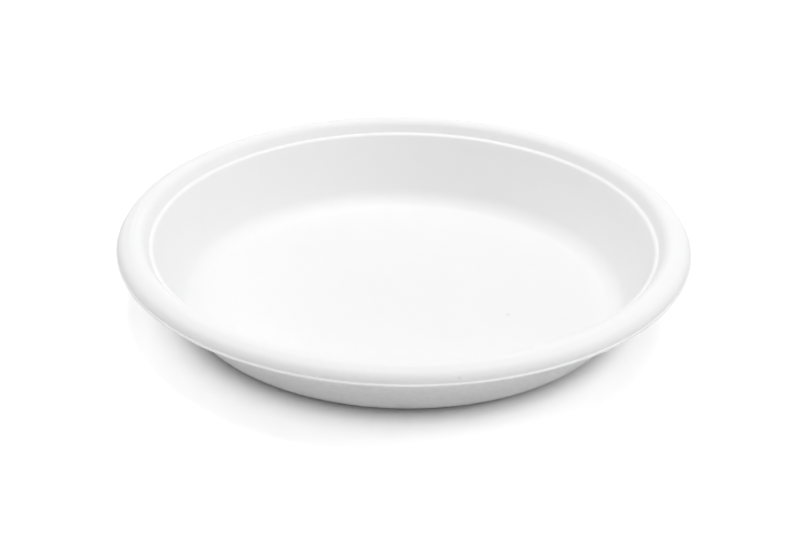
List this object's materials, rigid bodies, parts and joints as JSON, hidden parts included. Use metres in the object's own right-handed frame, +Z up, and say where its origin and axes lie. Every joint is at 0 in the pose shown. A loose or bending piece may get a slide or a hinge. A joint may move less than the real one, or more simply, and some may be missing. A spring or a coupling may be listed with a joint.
{
  "type": "paper plate",
  "caption": "Round deep plate pressed from white fibre in one sheet: flat floor, leaning wall, stacking ledge, rolled rim and narrow trimmed flange.",
  "frame": {"origin": "centre of the floor's underside, on the surface that the plate stands on", "axes": "+Z up along the plate's axis, towards its open top; X and Y lie in the surface it stands on, and the plate is the same all round"},
  "size_m": [0.23, 0.23, 0.033],
  "materials": {
    "pressed_fibre": "matt pressed plant fibre, smooth and faintly hammered inside, fine screen mark outside"
  },
  "bodies": {
    "root": {"plate": "pressed_fibre"}
  },
  "joints": []
}
